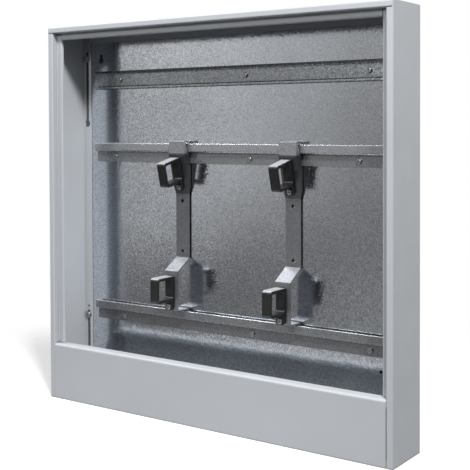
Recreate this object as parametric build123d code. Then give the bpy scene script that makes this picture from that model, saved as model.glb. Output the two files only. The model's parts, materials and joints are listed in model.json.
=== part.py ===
from build123d import *
import math
import os

# Overall size in millimetres
WIDTH = 720.0
HEIGHT = 705.0
DEPTH = 100.0

# Painted shell
SHEET = 1.5
BEND = 1.5
RIM = 12.0
REBATE = 13.0
OPENING = 24.0
EDGE_LIP = 4.0
SIDE_FLANGE = 20.0
TOP_FLANGE = 25.0
TAB = 12.0

# Lower front panel
PLINTH = 104.0
PLINTH_LIP = 24.0
PLINTH_RETURN = 10.0
PLINTH_BEND = 3.0

# Long slots in the rear flanges of the sides
SLOT_INSET = 10.0
SLOT_WIDTH = 7.0
SLOT_END = 13.5
UPPER_SLOT = 137.0
UPPER_SLOT_BELOW_TOP = 45.0
LOWER_SLOT_LOW = 84.0
LOWER_SLOT_HIGH = 150.0
SMALL_HOLE = 5.0
SMALL_HOLE_Z = 161.0
LOWER_FRAME_SCREW_Z = 144.0
FRAME_SCREW_BELOW_TOP = 55.0

# Galvanised back panel
PANEL = 1.2
PANEL_INSET = 4.0
PANEL_LOW = 70.0
KEYHOLE_INSET = 46.0
KEYHOLE_BELOW_TOP = 60.0
KEYHOLE_ROUND = 10.0
KEYHOLE_SLOT = 5.0
KEYHOLE_RISE = 10.5
WALL_HOLE = 6.0
WALL_HOLE_INSET = 69.0
WALL_HOLE_Z = 118.0

# Instrument rail
DIN_HEIGHT = 35.0
DIN_BASE = 27.0
DIN_DEPTH = 7.5
DIN_SHEET = 1.0
DIN_BELOW_TOP = 98.5
DIN_SCREWS = (-264.0, 28.0, 271.0)

# Support rails for the brackets
RAIL_SHEET = 2.0
RAIL_INSET = 37.0
RAIL_HEIGHT = 36.0
RAIL_FOOT = 21.0
RAIL_STAND = 10.0
RAIL_EDGE = 0.8
UPPER_RAIL_TOP = 485.0
LOWER_RAIL_TOP = 177.5
UPPER_SCREWS = (-275.0, 37.0, 253.0)
LOWER_SCREWS = (-255.0, 42.0, 273.0)

# Brackets that hang on the support rails
STRAP = 2.0
STRAP_WIDTH = 30.0
HEAD_WIDTH = 35.0
HEAD_TAPER = 14.0
STRAP_BEND = 1.0
HOOK_TIP = 9.0
HOOK_FINGER = 3.0
SLIDE_GAP = 0.3
HEAD_STAND = 21.0
HEAD_LOW = 466.0
LEAN_LOW = 392.0
STRAP_STAND = 3.0
STRAP_LOW = 275.0
BRIDGE_STAND = 37.5
BRIDGE_TOP = 254.0
FOOT_RISE = 4.0
CHEEK_STAND = 1.5
CHEEK_STEP = 2.0
NOTCH_TOP = 3.0
NOTCH_LOW = 9.0
STRAP_HOLE = 7.0
STRAP_HOLES_Z = (286.5, 379.5)
BRACKET_X = {"left": -111.0, "right": 127.5}

# Black clamps
CLAMP_WIDTH = 18.0
CLAMP_DEPTH = 47.0
CLAMP_SHIFT = -2.0
CLAMP_HEIGHT = 46.0
CLAMP_WALL = 4.5
CLAMP_SOLE = 6.0
CLAMP_CORNER = 6.0
CLAMP_INNER_CORNER = 2.5
CLAMP_EDGE = 0.8
UPPER_CLAMP_Z = 439.0
LOWER_CLAMP_Z = 223.0
LUG = 4.5
LUG_DROP = 16.5
LUG_CORNER = 4.0
CLAMP_SCREW_DROP = 10.5
CLAMP_SCREW_PAST = 1.0

# Screws
SCREW = 5.0
SCREW_GAP = 0.1
SCREW_HEAD = 9.5
SCREW_HEAD_HEIGHT = 3.0
SCREW_DOME = 1.2
DRIVE_WIDTH = 1.4
DRIVE_DEPTH = 1.2
WASHER = 14.0
WASHER_SHEET = 1.2

# Planes that several parts share
FRONT = -DEPTH / 2
BACK = DEPTH / 2
PANEL_FRONT = BACK - PANEL
FLANGE_FRONT = PANEL_FRONT - SHEET
SIDE = WIDTH / 2
HALF = SHEET / 2
UPPER_SLOT_HIGH = HEIGHT - UPPER_SLOT_BELOW_TOP
UPPER_SLOT_LOW = UPPER_SLOT_HIGH - UPPER_SLOT
FRAME_SCREW_Z = (LOWER_FRAME_SCREW_Z, HEIGHT - FRAME_SCREW_BELOW_TOP)
KEYHOLE_X = SIDE - KEYHOLE_INSET
KEYHOLE_Z = HEIGHT - KEYHOLE_BELOW_TOP
WALL_HOLE_X = SIDE - WALL_HOLE_INSET
DIN_Z = HEIGHT - DIN_BELOW_TOP
LIP_FRONT = PANEL_FRONT - RAIL_STAND
LIP_BACK = LIP_FRONT + RAIL_SHEET
CHEEK_BACK = PANEL_FRONT - RAIL_SHEET - SCREW_HEAD_HEIGHT - 2 * SLIDE_GAP
HEAD_Y = PANEL_FRONT - HEAD_STAND
STRAP_Y = PANEL_FRONT - STRAP_STAND
BRIDGE_Y = PANEL_FRONT - BRIDGE_STAND
RAIL_LENGTH = WIDTH - 2 * RAIL_INSET


# Face of a bent sheet whose middle line runs through the given points
def bent_sheet(points, sheet, bend):
    radius = bend + sheet / 2
    points = [Vector(*p) for p in points]
    ways = [(b - a).normalized() for a, b in zip(points, points[1:])]
    sides = []
    for shift in (sheet / 2, -sheet / 2):
        edges = []
        here = points[0] + left_of(ways[0]) * shift
        for corner, way, after in zip(points[1:-1], ways, ways[1:]):
            turn = math.copysign(1, way.X * after.Y - way.Y * after.X)
            angle = math.acos(max(-1, min(1, way.dot(after))))
            run = radius * math.tan(angle / 2)
            start = corner - way * run
            end = corner + after * run
            middle = start + left_of(way) * (turn * radius)
            outward = ((start - middle) + (end - middle)).normalized()
            arc_start = start + left_of(way) * shift
            arc_end = end + left_of(after) * shift
            arc_middle = middle + outward * (radius - turn * shift)
            edges.append(Line(here, arc_start))
            edges.append(ThreePointArc(arc_start, arc_middle, arc_end))
            here = arc_end
        last = points[-1] + left_of(ways[-1]) * shift
        edges.append(Line(here, last))
        sides.append((edges, points[0] + left_of(ways[0]) * shift, last))
    closing = [Line(sides[0][1], sides[1][1]), Line(sides[0][2], sides[1][2])]
    return make_face(sides[0][0] + sides[1][0] + closing)


# Direction turned a quarter to the left
def left_of(way):
    return Vector(-way.Y, way.X)


# Bent sheet drawn in depth and height, drawn out evenly about a place along the width
def along_width(points, sheet, bend, length, at=0.0):
    face = Plane.YZ * bent_sheet(points, sheet, bend)
    return Pos(at - length / 2, 0, 0) * extrude(face, length, dir=(1, 0, 0))


# Block between two opposite corners
def block(low, high):
    size = [b - a for a, b in zip(low, high)]
    middle = [(a + b) / 2 for a, b in zip(low, high)]
    return Pos(*middle) * Box(*size)


# Round bar from one depth to another
def bar_in_depth(x, z, diameter, start, end):
    return Pos(x, (start + end) / 2, z) * Rot(90, 0, 0) * Cylinder(diameter / 2, end - start)


# Screw that points up, its head below the origin
def upright_screw(length):
    head = Pos(0, 0, -SCREW_HEAD_HEIGHT / 2) * Cylinder(SCREW_HEAD / 2, SCREW_HEAD_HEIGHT)
    head = fillet(head.edges().sort_by(Axis.Z)[0], SCREW_DOME)
    shank = Pos(0, 0, length / 2) * Cylinder(SCREW / 2, length)
    drive = Pos(0, 0, DRIVE_DEPTH / 2 - SCREW_HEAD_HEIGHT) * Box(SCREW_HEAD * 0.6, DRIVE_WIDTH, DRIVE_DEPTH)
    return head + shank - drive - Rot(0, 0, 90) * drive


# Screw driven from the front into the back panel
def wall_screw(x, z, face):
    return Pos(x, face, z) * Rot(-90, 0, 0) * upright_screw(BACK - face)


# Left side of the painted shell
def left_side():
    plan = [
        (SIDE_FLANGE - SIDE, PANEL_FRONT - HALF),
        (HALF - SIDE, PANEL_FRONT - HALF),
        (HALF - SIDE, FRONT + HALF),
        (RIM - HALF - SIDE, FRONT + HALF),
        (RIM - HALF - SIDE, FRONT + REBATE + HALF),
        (OPENING - HALF - SIDE, FRONT + REBATE + HALF),
        (OPENING - HALF - SIDE, FRONT + REBATE + SHEET + EDGE_LIP),
    ]
    side = extrude(bent_sheet(plan, SHEET, BEND), HEIGHT, dir=(0, 0, 1))
    inner = SHEET - SIDE
    lip_end = FRONT + REBATE + SHEET + EDGE_LIP
    side -= block((inner, FRONT, HEIGHT - RIM), (OPENING - SIDE, lip_end, HEIGHT))
    side -= block((inner, FLANGE_FRONT - BEND, HEIGHT - SHEET), (SIDE_FLANGE - SIDE, PANEL_FRONT, HEIGHT))
    side -= block((RIM - SIDE, FRONT, 0), (OPENING - SIDE, lip_end, PLINTH))
    x = SLOT_INSET - SIDE
    for low, high in ((UPPER_SLOT_LOW, UPPER_SLOT_HIGH), (LOWER_SLOT_LOW, LOWER_SLOT_HIGH)):
        side -= long_slot(x, low, high, SLOT_WIDTH, FLANGE_FRONT, PANEL_FRONT)
    side -= bar_in_depth(x, UPPER_SLOT_LOW, SLOT_END, FLANGE_FRONT, PANEL_FRONT)
    side -= bar_in_depth(x, SMALL_HOLE_Z, SMALL_HOLE, FLANGE_FRONT, PANEL_FRONT)
    return side


# Slot with round ends, standing upright through a sheet
def long_slot(x, low, high, width, start, end):
    slot = block((x - width / 2, start, low), (x + width / 2, end, high))
    return slot + bar_in_depth(x, low, width, start, end) + bar_in_depth(x, high, width, start, end)


# Top of the painted shell with its stepped front edge
def top_panel():
    section = [
        (PANEL_FRONT - HALF, HEIGHT - TOP_FLANGE),
        (PANEL_FRONT - HALF, HEIGHT - HALF),
        (FRONT + HALF, HEIGHT - HALF),
        (FRONT + HALF, HEIGHT - RIM + HALF),
        (FRONT + REBATE + HALF, HEIGHT - RIM + HALF),
        (FRONT + REBATE + HALF, HEIGHT - OPENING + HALF),
        (FRONT + REBATE + SHEET + EDGE_LIP, HEIGHT - OPENING + HALF),
    ]
    length = WIDTH - 2 * SHEET
    top = along_width(section, SHEET, BEND, length)
    lip_end = FRONT + REBATE + SHEET + EDGE_LIP
    for hand in (-1, 1):
        outer = hand * (SIDE - SHEET)
        flange = hand * (SIDE - SIDE_FLANGE)
        opening = hand * (SIDE - OPENING)
        tab = hand * (SIDE - 2 * SHEET)
        top -= span(outer, opening, FRONT, lip_end, HEIGHT - OPENING, HEIGHT - RIM)
        top -= span(outer, flange, FLANGE_FRONT - BEND, PANEL_FRONT, HEIGHT - TOP_FLANGE, HEIGHT - SHEET)
        top += span(outer, tab, FRONT + 2 * REBATE, FLANGE_FRONT - REBATE, HEIGHT - SHEET - TAB, HEIGHT - HALF)
    return top


# Block between two places along the width in either order
def span(x_one, x_two, y_low, y_high, z_low, z_high):
    return block((min(x_one, x_two), y_low, z_low), (max(x_one, x_two), y_high, z_high))


# Lower front panel with its folded top edge
def plinth_panel():
    section = [
        (FRONT + PLINTH_LIP - HALF, PLINTH - HALF - PLINTH_RETURN),
        (FRONT + PLINTH_LIP - HALF, PLINTH - HALF),
        (FRONT + HALF, PLINTH - HALF),
        (FRONT + HALF, 0),
    ]
    plinth = along_width(section, SHEET, PLINTH_BEND, WIDTH - 2 * RIM)
    for hand in (-1, 1):
        end = hand * (SIDE - RIM)
        plinth += span(end, end - hand * SHEET, FRONT + HALF, FRONT + REBATE, TAB, PLINTH - TAB)
    return plinth


# Galvanised back panel with hanging holes
def back_panel():
    edge = SIDE - PANEL_INSET
    panel = block((-edge, PANEL_FRONT, PANEL_LOW), (edge, BACK, HEIGHT - PANEL_INSET))
    for hand in (-1, 1):
        x = hand * KEYHOLE_X
        panel -= bar_in_depth(x, KEYHOLE_Z, KEYHOLE_ROUND, PANEL_FRONT, BACK)
        panel -= long_slot(x, KEYHOLE_Z, KEYHOLE_Z + KEYHOLE_RISE, KEYHOLE_SLOT, PANEL_FRONT, BACK)
    panel -= bar_in_depth(WALL_HOLE_X, WALL_HOLE_Z, WALL_HOLE, PANEL_FRONT, BACK)
    places = [(x, DIN_Z) for x in DIN_SCREWS]
    places += [(x, rail_screw_z(UPPER_RAIL_TOP)) for x in UPPER_SCREWS]
    places += [(x, rail_screw_z(LOWER_RAIL_TOP)) for x in LOWER_SCREWS]
    places += [(hand * (SIDE - SLOT_INSET), z) for hand in (-1, 1) for z in FRAME_SCREW_Z]
    for x, z in places:
        panel -= bar_in_depth(x, z, SCREW + 2 * SCREW_GAP, PANEL_FRONT, BACK)
    return panel


# Height of the screws in a support rail
def rail_screw_z(top):
    return top - RAIL_HEIGHT + (RAIL_FOOT - RAIL_SHEET) / 2


# Instrument rail with a hat section
def din_rail():
    front = PANEL_FRONT - DIN_DEPTH + DIN_SHEET / 2
    rear = PANEL_FRONT - DIN_SHEET / 2
    base = DIN_BASE / 2 - DIN_SHEET / 2
    edge = DIN_HEIGHT / 2
    steps = [(front, edge), (front, base), (rear, base), (rear, -base), (front, -base), (front, -edge)]
    section = [(y, DIN_Z + z) for y, z in steps]
    rail = along_width(section, DIN_SHEET, DIN_SHEET / 2, RAIL_LENGTH)
    for x in DIN_SCREWS:
        rail -= bar_in_depth(x, DIN_Z, SCREW + 2 * SCREW_GAP, PANEL_FRONT - DIN_SHEET, PANEL_FRONT)
    return rail


# Support rail with a raised lip for the hooks
def support_rail(top, screws):
    rear = PANEL_FRONT - RAIL_SHEET / 2
    lip = LIP_FRONT + RAIL_SHEET / 2
    low = top - RAIL_HEIGHT
    web = low + RAIL_FOOT
    section = [(rear, low), (rear, web), (lip, web), (lip, top)]
    rail = along_width(section, RAIL_SHEET, RAIL_SHEET / 2, RAIL_LENGTH)
    rail = fillet(rail.faces().sort_by(Axis.Z)[-1].edges().filter_by(Axis.X), RAIL_EDGE)
    for x in screws:
        rail -= bar_in_depth(x, rail_screw_z(top), SCREW + 2 * SCREW_GAP, PANEL_FRONT - RAIL_SHEET, PANEL_FRONT)
    return rail


# Angle by which the upper part of a bracket leans forward
def lean():
    return math.degrees(math.atan2(STRAP_Y - HEAD_Y, HEAD_LOW - LEAN_LOW))


# Depth of the leaning plate's middle at a height
def lean_y(z):
    return HEAD_Y + (STRAP_Y - HEAD_Y) * (HEAD_LOW - z) / (HEAD_LOW - LEAN_LOW)


# Place of a clamp's back on the bracket
def clamp_place(x, level):
    x += CLAMP_SHIFT
    if level == "upper":
        return Pos(x, lean_y(UPPER_CLAMP_Z), UPPER_CLAMP_Z) * Rot(lean(), 0, 0) * Pos(0, -STRAP / 2, 0)
    return Pos(x, BRIDGE_Y - STRAP / 2, LOWER_CLAMP_Z)


# Waste beside a bracket, where its head narrows to the strap
def head_taper(hand):
    narrow = hand * STRAP_WIDTH / 2
    wide = hand * HEAD_WIDTH / 2
    clear = wide + hand * STRAP
    waste = [
        (narrow, 0),
        (narrow, LEAN_LOW),
        (wide, LEAN_LOW + HEAD_TAPER),
        (clear, LEAN_LOW + HEAD_TAPER),
        (clear, 0),
    ]
    face = Plane.XZ * make_face(Polyline(*waste, close=True))
    return extrude(face, DEPTH, dir=(0, 1, 0), both=True)


# Bracket bent from one strap, hooked over both rails
def bracket(x):
    tip = LIP_BACK + SLIDE_GAP + STRAP / 2
    rest = UPPER_RAIL_TOP + SLIDE_GAP
    upper = rest + HOOK_FINGER + STRAP / 2
    lower = LOWER_RAIL_TOP + FOOT_RISE + STRAP / 2
    below_web = UPPER_RAIL_TOP - RAIL_HEIGHT + RAIL_FOOT - RAIL_SHEET - SLIDE_GAP
    section = [
        (tip, UPPER_RAIL_TOP - HOOK_TIP),
        (tip, upper),
        (HEAD_Y, upper),
        (HEAD_Y, HEAD_LOW),
        (STRAP_Y, LEAN_LOW),
        (STRAP_Y, STRAP_LOW),
        (BRIDGE_Y, BRIDGE_TOP),
        (BRIDGE_Y, lower),
        (tip, lower),
        (tip, LOWER_RAIL_TOP - HOOK_TIP),
    ]
    body = along_width(section, STRAP, STRAP_BEND, HEAD_WIDTH, x)
    near = PANEL_FRONT - CHEEK_STAND
    step = UPPER_RAIL_TOP - RAIL_HEIGHT - CHEEK_STEP
    outline = [
        (HEAD_Y, rest + HOOK_FINGER),
        (HEAD_Y, HEAD_LOW),
        (STRAP_Y, LEAN_LOW),
        (near, LEAN_LOW),
        (near, step),
        (CHEEK_BACK, step),
        (CHEEK_BACK, below_web),
        (HEAD_Y + STRAP / 2 + NOTCH_LOW, below_web),
        (HEAD_Y + STRAP / 2 + NOTCH_TOP, rest),
        (tip, rest),
        (tip, rest + HOOK_FINGER),
    ]
    cheek = extrude(Plane.YZ * make_face(Polyline(*outline, close=True)), STRAP, dir=(1, 0, 0))
    body += Pos(x - HEAD_WIDTH / 2, 0, 0) * cheek
    body += Pos(x + HEAD_WIDTH / 2 - STRAP, 0, 0) * cheek
    for hand in (-1, 1):
        body -= Pos(x, 0, 0) * head_taper(hand)
    for z in STRAP_HOLES_Z:
        body -= bar_in_depth(x, z, STRAP_HOLE, STRAP_Y - STRAP, STRAP_Y + STRAP)
    for level in ("upper", "lower"):
        body -= clamp_place(x, level) * clamp_screw_bar(SCREW + 2 * SCREW_GAP, -STRAP, 2 * STRAP)
    return body


# Round bar on the axis of a clamp's screw, seen from the clamp's back
def clamp_screw_bar(diameter, start, end):
    return bar_in_depth(0, -CLAMP_HEIGHT / 2 - CLAMP_SCREW_DROP, diameter, start, end)


# Black clamp with a lug below, the middle of its ring's back at the origin
def clamp():
    outer = RectangleRounded(CLAMP_DEPTH, CLAMP_HEIGHT, CLAMP_CORNER)
    window = RectangleRounded(CLAMP_DEPTH - 2 * CLAMP_WALL, CLAMP_HEIGHT - 2 * CLAMP_SOLE, CLAMP_INNER_CORNER)
    ring = extrude(Plane.YZ * (outer - window), CLAMP_WIDTH / 2, dir=(1, 0, 0), both=True)
    ring = chamfer(ring.edges().group_by(Axis.X)[0] + ring.edges().group_by(Axis.X)[-1], CLAMP_EDGE)
    ring = Pos(0, -CLAMP_DEPTH / 2, 0) * ring
    half = CLAMP_WIDTH / 2 - CLAMP_EDGE
    low = -CLAMP_HEIGHT / 2 - LUG_DROP
    lug = block((-half, -LUG, low), (half, 0, CLAMP_CORNER - CLAMP_HEIGHT / 2))
    lug = fillet(lug.edges().filter_by(Axis.Y).group_by(Axis.Z)[0], LUG_CORNER)
    return ring + lug - clamp_screw_bar(SCREW + 2 * SCREW_GAP, -2 * LUG, LUG)


# Screw that holds a clamp's lug to its bracket
def clamp_screw():
    length = LUG + STRAP + CLAMP_SCREW_PAST
    return Pos(0, -LUG, -CLAMP_HEIGHT / 2 - CLAMP_SCREW_DROP) * Rot(-90, 0, 0) * upright_screw(length)


# Washer in front of a side slot
def frame_washer(x, z):
    ring = bar_in_depth(x, z, WASHER, FLANGE_FRONT - WASHER_SHEET, FLANGE_FRONT)
    return ring - bar_in_depth(x, z, SCREW + 2 * SCREW_GAP, FLANGE_FRONT - WASHER_SHEET, FLANGE_FRONT)


# Every part by name
def all_parts():
    left = left_side()
    parts = {
        "back_panel": back_panel(),
        "left_side_panel": left,
        "right_side_panel": mirror(left, Plane.YZ),
        "top_panel": top_panel(),
        "plinth_panel": plinth_panel(),
        "din_rail": din_rail(),
        "upper_support_rail": support_rail(UPPER_RAIL_TOP, UPPER_SCREWS),
        "lower_support_rail": support_rail(LOWER_RAIL_TOP, LOWER_SCREWS),
    }
    rail_face = PANEL_FRONT - RAIL_SHEET
    parts["din_rail_screws"] = [wall_screw(x, DIN_Z, PANEL_FRONT - DIN_SHEET) for x in DIN_SCREWS]
    parts["upper_rail_screws"] = [wall_screw(x, rail_screw_z(UPPER_RAIL_TOP), rail_face) for x in UPPER_SCREWS]
    parts["lower_rail_screws"] = [wall_screw(x, rail_screw_z(LOWER_RAIL_TOP), rail_face) for x in LOWER_SCREWS]
    washer_face = FLANGE_FRONT - WASHER_SHEET
    for name, hand in (("left", -1), ("right", 1)):
        x = hand * (SIDE - SLOT_INSET)
        parts[name + "_frame_screws"] = [wall_screw(x, z, washer_face) for z in FRAME_SCREW_Z]
        parts[name + "_frame_washers"] = [frame_washer(x, z) for z in FRAME_SCREW_Z]
    for name, x in BRACKET_X.items():
        parts[name + "_bracket"] = bracket(x)
        places = {level: clamp_place(x, level) for level in ("upper", "lower")}
        for level, place in places.items():
            parts[name + "_" + level + "_clamp"] = place * clamp()
        parts[name + "_clamp_screws"] = [place * clamp_screw() for place in places.values()]
    return parts


os.makedirs("parts", exist_ok=True)
for name, shape in all_parts().items():
    if isinstance(shape, list):
        shape = Compound(children=shape)
    export_step(shape, "parts/" + name + ".step")
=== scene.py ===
import json
import math

import bpy
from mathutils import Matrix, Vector


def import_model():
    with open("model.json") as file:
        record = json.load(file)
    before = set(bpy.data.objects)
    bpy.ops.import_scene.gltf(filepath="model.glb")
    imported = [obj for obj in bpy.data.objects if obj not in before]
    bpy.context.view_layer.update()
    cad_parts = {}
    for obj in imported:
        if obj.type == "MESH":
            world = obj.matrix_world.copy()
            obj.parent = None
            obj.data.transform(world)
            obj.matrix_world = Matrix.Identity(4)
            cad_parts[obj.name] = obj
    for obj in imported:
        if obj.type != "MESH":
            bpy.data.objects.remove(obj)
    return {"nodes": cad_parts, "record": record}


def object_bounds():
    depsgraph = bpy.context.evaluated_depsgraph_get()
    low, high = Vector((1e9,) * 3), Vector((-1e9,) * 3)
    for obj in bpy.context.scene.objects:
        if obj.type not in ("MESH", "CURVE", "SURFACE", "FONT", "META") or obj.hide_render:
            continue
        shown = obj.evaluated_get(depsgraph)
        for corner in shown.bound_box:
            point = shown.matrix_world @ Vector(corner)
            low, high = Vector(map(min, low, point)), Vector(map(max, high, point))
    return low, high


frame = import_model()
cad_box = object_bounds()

# Camera fitted to the photograph: place in metres, angles in degrees, lens and sensor in millimetres
CAMERA_PLACE = (1.00634, -1.38491, 0.51664)
CAMERA_YAW = 34.943
CAMERA_PITCH = 1.392
CAMERA_ROLL = 0.207
CAMERA_LENS = 75.45
CAMERA_SENSOR = 36.0
CAMERA_SHIFT = -0.1805

# Colours and grey levels, linear
PAINT = (0.43, 0.45, 0.475)
ZINC = (0.712, 0.74, 0.785)
RAIL = (0.62, 0.641, 0.67)
HAT_RAIL = (0.4, 0.418, 0.44)
STRAP = (0.227, 0.236, 0.249)
PLATED = (0.5, 0.5, 0.51)
BLACK = (0.012, 0.012, 0.013)
# Colour of the painted top light on the clamps
CLAMP_TOP_LIGHT = (0.36, 0.37, 0.385)
WHITE = (1.0, 1.0, 1.0)
FLOOR = 0.92
# Level of the dark card of painted shade behind the wall holes
HOLE_SHADE = 0.03

# Grains: cells per metre, least value and greatest value
PAINT_CLOUDS = (9.0, 0.975, 1.02)
PAINT_SPECKS = (420.0, 0.985, 1.015)
PAINT_GLOSS = (30.0, 0.42, 0.5)
PAINT_PEEL = (650.0, 0.0, 1.0)
ZINC_CLOUDS = (7.0, 0.94, 1.05)
SCREW_TONE = (300.0, 0.75, 1.05)
SCREW_GLOSS = (500.0, 0.2, 0.34)
CLAMP_TONE = (260.0, 0.6, 1.5)
CLAMP_TOP_TONE = (420.0, 0.8, 1.15)
CLAMP_GLOSS = (180.0, 0.3, 0.4)
CLAMP_SKIN = (900.0, 0.0, 1.0)
NOISE_DETAIL = 3.0
NOISE_SPAN = (0.3, 0.7)

# Heights of the fine relief in metres
PEEL_HEIGHT = 0.00006
SKIN_HEIGHT = 0.00004

# Zinc coats: crystals per metre, their tilt, roughness and contrast, and the share of metal
PANEL_COAT = {"crystals": 640.0, "tilt": 0.036, "roughness": 0.13, "contrast": 0.27, "metal": 1.0}
RAIL_COAT = {"crystals": 600.0, "tilt": 0.02, "roughness": 0.28, "contrast": 0.16, "metal": 0.78}
HAT_RAIL_COAT = {"crystals": 600.0, "tilt": 0.05, "roughness": 0.28, "contrast": 0.4, "metal": 0.95}
STRAP_COAT = {"crystals": 600.0, "tilt": 0.012, "roughness": 0.46, "contrast": 0.2, "metal": 0.88}
CRYSTAL_BEND = 0.6
CRYSTAL_BEND_DETAIL = 2.0
CRYSTAL_GLOSS = (0.85, 1.2)

# Painted shade in folds and narrow gaps: its reach in metres, how open a place is, and its tone
FOLD_REACH = 0.006
FOLD_OPEN = (0.42, 0.85)
FOLD_SHADE = 0.45

# Painted shade on the zinc behind the rear flanges of the sides: their width and its blur in metres, and
# its tone
COVER = 0.02
COVER_BLUR = 0.0005
COVER_SHADE = 0.3
FRONT_FACING = (-0.5, 0.5)

# Bands of painted shade and painted highlight: limits in metres from the top of a node, and their tones on
# it
RAIL_ZONES = ((-0.0365, -0.0155), (-0.0153, -0.0012), (-0.0012, 0.0005))
RAIL_TONES = {"upper_support_rail": (0.5, 0.7, 1.4), "lower_support_rail": (0.36, 0.45, 1.4)}
HAT_RAIL_ZONES = ((-0.0045, 0.0005), (-0.0308, -0.029), (-0.0335, -0.031), (-0.0355, -0.0338))
HAT_RAIL_TONES = {"din_rail": (0.22, 0.3, 1.2, 0.45)}
STRAP_ZONES = ((-0.0978, -0.0243), (-0.0223, -0.0028))
STRAP_TONES = {"left_bracket": (0.42, 1.9)}
BAND_BLUR = 0.0004

# Painted top light: tones of faces that slope up and of level ones, and how far up such faces look
PLAIN_TOP_LIGHT = (1.0, 1.0)
STRAP_TOP_LIGHT = (1.75, 3.0)
SLOPING = (0.5, 0.8)
LEVEL = (0.9, 0.99)

# How far the coat of the brackets leans down
STRAP_DROOP = 0.08

# Painted top light on the clamps: how far out from the centre in metres, and how far up they face
TOP_LIGHT_OUTWARD = (0.014, 0.017)
TOP_LIGHT_UPWARD = (0.45, 0.9)

# Painted shade behind the wall holes, a dark card, in metres, with the radius of the keyholes' slots
GAP_BEHIND = 0.0002
GAP_MARGIN = 0.0012
KEYHOLE_SLOT = 0.0025
KEYHOLE_RISES = (0.006, 0.0105)
RING_POINTS = 32
MILLIMETRE = 0.001

# Floor: middle and reach in metres, the share of it that doesn't fade, and its tone for light that bounces
FLOOR_MIDDLE = (-0.2, 0.2, 0.0)
FLOOR_REACH = 0.75
FLOOR_WHOLE = 0.55
FLOOR_BOUNCE = 0.1

# Roughness of the stage pieces
CARD_ROUGHNESS = 0.9

# Lamps: place and aim in metres, side in metres, power in watts
LAMPS = {
    "key": ((1.75, -1.55, 2.9), (0.0, 0.0, 0.35), 0.45, 150.0),
    "fill": ((0.0, -1.8, 1.3), (0.0, 0.0, 0.2), 0.5, 12.0),
    "overhead": ((-1.86, -0.73, 2.6), (0.0, 0.0, 0.35), 1.0, 42.0),
}

# World: levels of its parts
WORLD_BACK = 0.45
WORLD_DIM = 0.1
WORLD_UNDER = 0.05
WORLD_LOW = (0.145, 0.2465)
SOFTBOX = (0.33, 0.5)
SOFTBOX_RIGHT = 0.52
SOFTBOX_TOP = 1.35
SOFTBOX_SHORTFALL = 0.58

# World: directions between which one part passes into the next
BACK_DEPTH = (0.3, 0.58)
UNDER_UP = (-0.55, -0.3)
DIM_ACROSS = (-0.2, 0.0)
LOW_UP = (-0.14, -0.11)
LOW_ACROSS = (-0.55, -0.45)
SOFTBOX_ACROSS = (-0.69, -0.6)
RIGHT_ACROSS = (-0.59, -0.43)
TOP_UP = (0.03, 0.1)
SHORTFALL_ACROSS = (-0.6, -0.55)
SHORTFALL_UP = (-0.13, -0.03)


# Puts a value on a socket, or links another socket to it
def feed(tree, socket, value):
    if isinstance(value, bpy.types.NodeSocket):
        tree.links.new(value, socket)
    else:
        socket.default_value = value


# Adds a node with its settings and inputs
def add(tree, kind, inputs=None, **settings):
    node = tree.nodes.new("ShaderNode" + kind)
    for name, value in settings.items():
        setattr(node, name, value)
    for name, value in (inputs or {}).items():
        feed(tree, node.inputs[name], value)
    return node


# Starts a material and gives its node tree and shader
def start(name):
    material = bpy.data.materials.new(name)
    material.use_nodes = True
    tree = material.node_tree
    return material, tree, tree.nodes["Principled BSDF"]


# Place on the object in metres
def place(tree):
    return add(tree, "TexCoord").outputs["Object"]


# Way that the surface faces
def normal(tree):
    return add(tree, "NewGeometry").outputs["Normal"]


# The three parts of a vector
def parts(tree, vector):
    return add(tree, "SeparateXYZ", {"Vector": vector}).outputs


# Two numbers taken together
def calc(tree, operation, a, b):
    return add(tree, "Math", {0: a, 1: b}, operation=operation).outputs["Value"]


# Numbers multiplied together
def product(tree, first, *others):
    for other in others:
        first = calc(tree, "MULTIPLY", first, other)
    return first


# Vectors taken together
def combine(tree, operation, *vectors):
    return add(tree, "VectorMath", dict(enumerate(vectors)), operation=operation).outputs["Vector"]


# Number made from two vectors
def measure(tree, operation, a, b):
    return add(tree, "VectorMath", {0: a, 1: b}, operation=operation).outputs["Value"]


# Value moved evenly from one range to another
def spread(tree, value, span, low, high, **settings):
    inputs = {"Value": value, "From Min": span[0], "From Max": span[1], "To Min": low, "To Max": high}
    return add(tree, "MapRange", inputs, **settings).outputs["Result"]


# Value moved smoothly from one range to another
def ramp(tree, value, span, low, high):
    return spread(tree, value, span, low, high, interpolation_type="SMOOTHSTEP")


# Noise between two values
def noise(tree, where, cells, low, high):
    inputs = {"Vector": where, "Scale": cells, "Detail": NOISE_DETAIL}
    return spread(tree, add(tree, "TexNoise", inputs).outputs["Fac"], NOISE_SPAN, low, high)


# Colour made lighter or darker by a number
def shade(tree, colour, amount):
    return add(tree, "VectorMath", {0: colour, "Scale": amount}, operation="SCALE").outputs["Vector"]


# Relief of a grain, with its height in metres
def bump(tree, grain, height):
    return add(tree, "Bump", {"Height": grain, "Distance": height, "Strength": 1.0}).outputs["Normal"]


# Tone of the painted shade in folds and narrow gaps, one in the open
def fold_shade(tree):
    openness = add(tree, "AmbientOcclusion", {"Distance": FOLD_REACH}).outputs["AO"]
    return ramp(tree, openness, FOLD_OPEN, FOLD_SHADE, 1.0)


# Tone of the painted shade on the zinc that the rear flanges cover, one elsewhere
def cover_shade(tree, where):
    edge = cad_box[1].x - COVER
    across = calc(tree, "ABSOLUTE", parts(tree, where)["X"], 0.0)
    outer = ramp(tree, across, (edge - COVER_BLUR, edge + COVER_BLUR), 0.0, 1.0)
    frontal = ramp(tree, parts(tree, normal(tree))["Y"], FRONT_FACING, 1.0, 0.0)
    return ramp(tree, product(tree, outer, frontal), (0.0, 1.0), 1.0, COVER_SHADE)


# Painted top light: tone of faces that slope up and of level ones, one elsewhere
def top_light(tree, sloping, level):
    height = parts(tree, normal(tree))["Z"]
    return ramp(tree, height, LEVEL, ramp(tree, height, SLOPING, 1.0, sloping), level)


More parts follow.
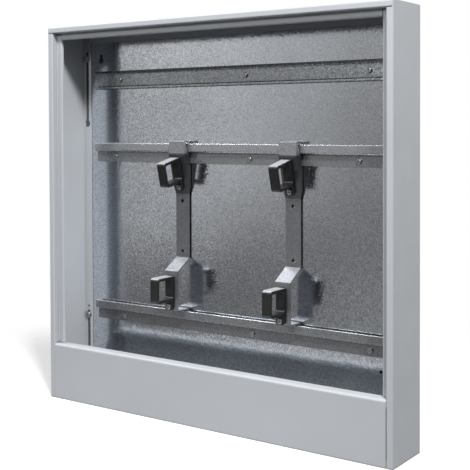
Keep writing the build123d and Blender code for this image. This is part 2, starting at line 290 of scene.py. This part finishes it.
# Tone of a level band between two heights, one elsewhere
def band(tree, where, low, high, level):
    middle = (low + high) / 2
    half = (high - low) / 2
    away = calc(tree, "ABSOLUTE", calc(tree, "SUBTRACT", parts(tree, where)["Z"], middle), 0.0)
    return ramp(tree, away, (half - BAND_BLUR, half + BAND_BLUR), level, 1.0)


# Limits and tones of bands, measured from the tops of their nodes
def bands(zones, tones):
    found = []
    for node, levels in tones.items():
        top = max(corner[2] for corner in frame["nodes"][node].bound_box)
        for (low, high), level in zip(zones, levels):
            found.append((top + low, top + high, level))
    return found


# Powder coat with a fine orange peel and painted shade in its folds
def painted_shell():
    material, tree, shader = start("painted_shell")
    where = place(tree)
    tone = product(tree, noise(tree, where, *PAINT_CLOUDS), noise(tree, where, *PAINT_SPECKS), fold_shade(tree))
    feed(tree, shader.inputs["Base Color"], shade(tree, PAINT, tone))
    feed(tree, shader.inputs["Roughness"], noise(tree, where, *PAINT_GLOSS))
    feed(tree, shader.inputs["Normal"], bump(tree, noise(tree, where, *PAINT_PEEL), PEEL_HEIGHT))
    return material


# Random colour of each zinc crystal, in cells with bent edges
def crystal_cells(tree, where, crystals):
    inputs = {"Vector": where, "Scale": crystals * CRYSTAL_BEND, "Detail": CRYSTAL_BEND_DETAIL}
    shift = add(tree, "TexNoise", inputs).outputs["Color"]
    bent = combine(tree, "MULTIPLY_ADD", shift, (CRYSTAL_BEND / crystals,) * 3, where)
    return add(tree, "TexVoronoi", {"Vector": bent, "Scale": crystals}).outputs["Color"]


# Way that the crystals face: most lie flat, a few lean
def crystal_normal(tree, cells, tilt, droop):
    spin = combine(tree, "MULTIPLY_ADD", cells, (2.0,) * 3, (-1.0,) * 3)
    cube = combine(tree, "MULTIPLY", combine(tree, "MULTIPLY", spin, spin), spin)
    lean = combine(tree, "MULTIPLY_ADD", cube, (tilt,) * 3, (0.0, 0.0, -droop))
    return combine(tree, "NORMALIZE", combine(tree, "ADD", normal(tree), lean))


# Zinc coat with crystals, painted shade in gaps and behind the rear flanges, and bands and tops with
# painted light and shade
def zinc_coat(name, colour, coat, limits=(), tops=PLAIN_TOP_LIGHT, droop=0.0):
    material, tree, shader = start(name)
    where = place(tree)
    cells = crystal_cells(tree, where, coat["crystals"])
    random = parts(tree, cells)
    tone = product(
        tree,
        spread(tree, random["X"], (0.0, 1.0), 1 - coat["contrast"], 1 + coat["contrast"]),
        noise(tree, where, *ZINC_CLOUDS),
        fold_shade(tree),
        cover_shade(tree, where),
        top_light(tree, *tops),
        *[band(tree, where, *limit) for limit in limits],
    )
    low, high = [coat["roughness"] * share for share in CRYSTAL_GLOSS]
    feed(tree, shader.inputs["Base Color"], shade(tree, colour, tone))
    feed(tree, shader.inputs["Metallic"], coat["metal"])
    feed(tree, shader.inputs["Roughness"], spread(tree, random["Y"], (0.0, 1.0), low, high))
    feed(tree, shader.inputs["Normal"], crystal_normal(tree, cells, coat["tilt"], droop))
    return material


# Bright plated screws with a fine grain
def zinc_screw():
    material, tree, shader = start("zinc_screw")
    where = place(tree)
    feed(tree, shader.inputs["Base Color"], shade(tree, PLATED, noise(tree, where, *SCREW_TONE)))
    feed(tree, shader.inputs["Metallic"], 1.0)
    feed(tree, shader.inputs["Roughness"], noise(tree, where, *SCREW_GLOSS))
    return material


# Moulded black ring around a centre, with painted top light where its outside faces up
def black_clamp(name, centre):
    material, tree, shader = start(name)
    where = place(tree)
    outward = measure(tree, "DOT_PRODUCT", combine(tree, "SUBTRACT", where, centre), normal(tree))
    outside = ramp(tree, outward, TOP_LIGHT_OUTWARD, 0.0, 1.0)
    facing_up = ramp(tree, parts(tree, normal(tree))["Z"], TOP_LIGHT_UPWARD, 0.0, 1.0)
    lit_top = product(tree, outside, facing_up, noise(tree, where, *CLAMP_TOP_TONE))
    black = shade(tree, BLACK, noise(tree, where, *CLAMP_TONE))
    feed(tree, shader.inputs["Base Color"], combine(tree, "MULTIPLY_ADD", lit_top, CLAMP_TOP_LIGHT, black))
    feed(tree, shader.inputs["Roughness"], noise(tree, where, *CLAMP_GLOSS))
    feed(tree, shader.inputs["Normal"], bump(tree, noise(tree, where, *CLAMP_SKIN), SKIN_HEIGHT))
    return material


# Gives every node the material of its slot, or one of its own
def dress():
    # Bands of painted shade and painted highlight on the rails, the instrument rail and the left bracket
    rail_bands = bands(RAIL_ZONES, RAIL_TONES)
    hat_rail_bands = bands(HAT_RAIL_ZONES, HAT_RAIL_TONES)
    strap_bands = bands(STRAP_ZONES, STRAP_TONES)
    strap_look = (STRAP, STRAP_COAT, strap_bands, STRAP_TOP_LIGHT, STRAP_DROOP)
    materials = {
        "painted_shell": painted_shell(),
        "galvanised_panel": zinc_coat("galvanised_panel", ZINC, PANEL_COAT),
        "galvanised_rail": zinc_coat("galvanised_rail", RAIL, RAIL_COAT, rail_bands),
        "galvanised_strap": zinc_coat("galvanised_strap", *strap_look),
        "zinc_screw": zinc_screw(),
        "din_rail": zinc_coat("instrument_rail", HAT_RAIL, HAT_RAIL_COAT, hat_rail_bands),
    }
    for mount in frame["record"]["mounts"]:
        if mount["name"].endswith("_bar_seat"):
            name = mount["name"].replace("_bar_seat", "_clamp")
            materials[name] = black_clamp(name, mount["pos_m"])
    for part in frame["record"]["subparts"]:
        piece = frame["nodes"][part["node"]]
        for slot in piece.material_slots:
            slot.material = materials.get(part["node"]) or materials[part["material_slot"]]


# Soft square lamp that looks at a point
def lamp(name, at, to, side, power):
    data = bpy.data.lights.new(name, "AREA")
    data.size = side
    data.energy = power
    piece = bpy.data.objects.new(name, data)
    piece.location = at
    piece.rotation_euler = (Vector(to) - Vector(at)).to_track_quat("-Z", "Y").to_euler()
    bpy.context.collection.objects.link(piece)


# Flat stage piece from the points of its outlines
def card(name, outlines, level):
    points = [point for outline in outlines for point in outline]
    faces = []
    for outline in outlines:
        first = sum(len(face) for face in faces)
        faces.append(range(first, first + len(outline)))
    mesh = bpy.data.meshes.new(name)
    mesh.from_pydata(points, [], faces)
    piece = bpy.data.objects.new(name, mesh)
    bpy.context.collection.objects.link(piece)
    material, tree, shader = start(name)
    shader.inputs["Base Color"].default_value = (level, level, level, 1.0)
    shader.inputs["Roughness"].default_value = CARD_ROUGHNESS
    shader.inputs["Specular IOR Level"].default_value = 0.0
    mesh.materials.append(material)
    return tree, shader


# Points around a circle in a standing plane
def ring(x, y, z, radius):
    turns = [2 * math.pi * i / RING_POINTS for i in range(RING_POINTS)]
    return [(x + radius * math.cos(turn), y, z + radius * math.sin(turn)) for turn in turns]


# One for rays that show the background, nought for those that only light
def shows(tree):
    ray = add(tree, "LightPath").outputs
    mirrored = calc(tree, "ADD", ray["Is Glossy Ray"], ray["Is Transmission Ray"])
    return calc(tree, "ADD", ray["Is Camera Ray"], mirrored)


# Pale floor that fades out away from the cabinet
def floor():
    middle = Vector(FLOOR_MIDDLE)
    turns = ((-1, -1), (1, -1), (1, 1), (-1, 1))
    corners = [middle + FLOOR_REACH * Vector((x, y, 0)) for x, y in turns]
    tree, shader = card("floor", [corners], FLOOR)
    tone = ramp(tree, shows(tree), (0.0, 1.0), FLOOR_BOUNCE, FLOOR)
    away = measure(tree, "DISTANCE", place(tree), FLOOR_MIDDLE)
    fade = ramp(tree, away, (FLOOR_REACH * FLOOR_WHOLE, FLOOR_REACH), 1.0, 0.0)
    feed(tree, shader.inputs["Base Color"], shade(tree, WHITE, tone))
    feed(tree, shader.inputs["Alpha"], fade)


# Dark card of painted shade behind the holes of the back panel, seen through them
def hole_shade_card():
    mounts = {mount["name"]: mount for mount in frame["record"]["mounts"]}
    back = cad_box[1].y + GAP_BEHIND
    hole = mounts["lower_wall_hole"]
    x, _, z = hole["pos_m"]
    outlines = [ring(x, back, z, hole["dims"]["r_mm"] * MILLIMETRE + GAP_MARGIN)]
    keyholes = mounts["hanging_holes"]
    middle, _, z = keyholes["pos_m"]
    side = keyholes["dims"]["spacing_x_mm"] * MILLIMETRE / 2
    radius = keyholes["dims"]["hole_r_mm"] * MILLIMETRE
    for x in (middle - side, middle + side):
        outlines.append(ring(x, back, z, radius + GAP_MARGIN))
        for rise in KEYHOLE_RISES:
            outlines.append(ring(x, back, z + rise, KEYHOLE_SLOT + GAP_MARGIN))
    card("hole_shade_card", outlines, HOLE_SHADE)


# Lighter part of the world to the left, which the zinc mirrors
def softbox(tree, way):
    short = ramp(tree, way["X"], SHORTFALL_ACROSS, 0.0, 1.0)
    shortfall = product(tree, short, ramp(tree, way["Z"], SHORTFALL_UP, SOFTBOX_SHORTFALL, 0.0))
    return product(
        tree,
        ramp(tree, way["X"], SOFTBOX_ACROSS, *SOFTBOX),
        ramp(tree, way["X"], RIGHT_ACROSS, 1.0, SOFTBOX_RIGHT),
        ramp(tree, way["Z"], TOP_UP, 1.0, SOFTBOX_TOP),
        calc(tree, "SUBTRACT", 1.0, shortfall),
    )


# World, white behind the cabinet and dim before it, with a lighter part to the left
def world():
    made = bpy.data.worlds.new("studio")
    bpy.context.scene.world = made
    made.use_nodes = True
    tree = made.node_tree
    way = parts(tree, add(tree, "TexCoord").outputs["Generated"])
    low = ramp(tree, way["X"], LOW_ACROSS, *WORLD_LOW)
    patch = ramp(tree, way["Z"], LOW_UP, low, softbox(tree, way))
    across = ramp(tree, way["X"], DIM_ACROSS, patch, WORLD_DIM)
    front = ramp(tree, way["Z"], UNDER_UP, WORLD_UNDER, across)
    back = ramp(tree, shows(tree), (0.0, 1.0), WORLD_BACK, 1.0)
    light = ramp(tree, way["Y"], BACK_DEPTH, front, back)
    seen = ramp(tree, add(tree, "LightPath").outputs["Is Camera Ray"], (0.0, 1.0), light, 1.0)
    feed(tree, tree.nodes["Background"].inputs["Color"], shade(tree, WHITE, seen))


# Camera at the photograph's place
def camera():
    data = bpy.data.cameras.new("camera")
    data.sensor_fit = "HORIZONTAL"
    data.sensor_width = CAMERA_SENSOR
    data.lens = CAMERA_LENS
    data.shift_y = CAMERA_SHIFT
    piece = bpy.data.objects.new("camera", data)
    piece.location = CAMERA_PLACE
    angles = (90 - CAMERA_PITCH, CAMERA_ROLL, CAMERA_YAW)
    piece.rotation_euler = [math.radians(angle) for angle in angles]
    bpy.context.collection.objects.link(piece)
    bpy.context.scene.camera = piece


bpy.context.scene.view_settings.view_transform = "Standard"
dress()
floor()
world()
hole_shade_card()
for name, setting in LAMPS.items():
    lamp(name, *setting)
camera()
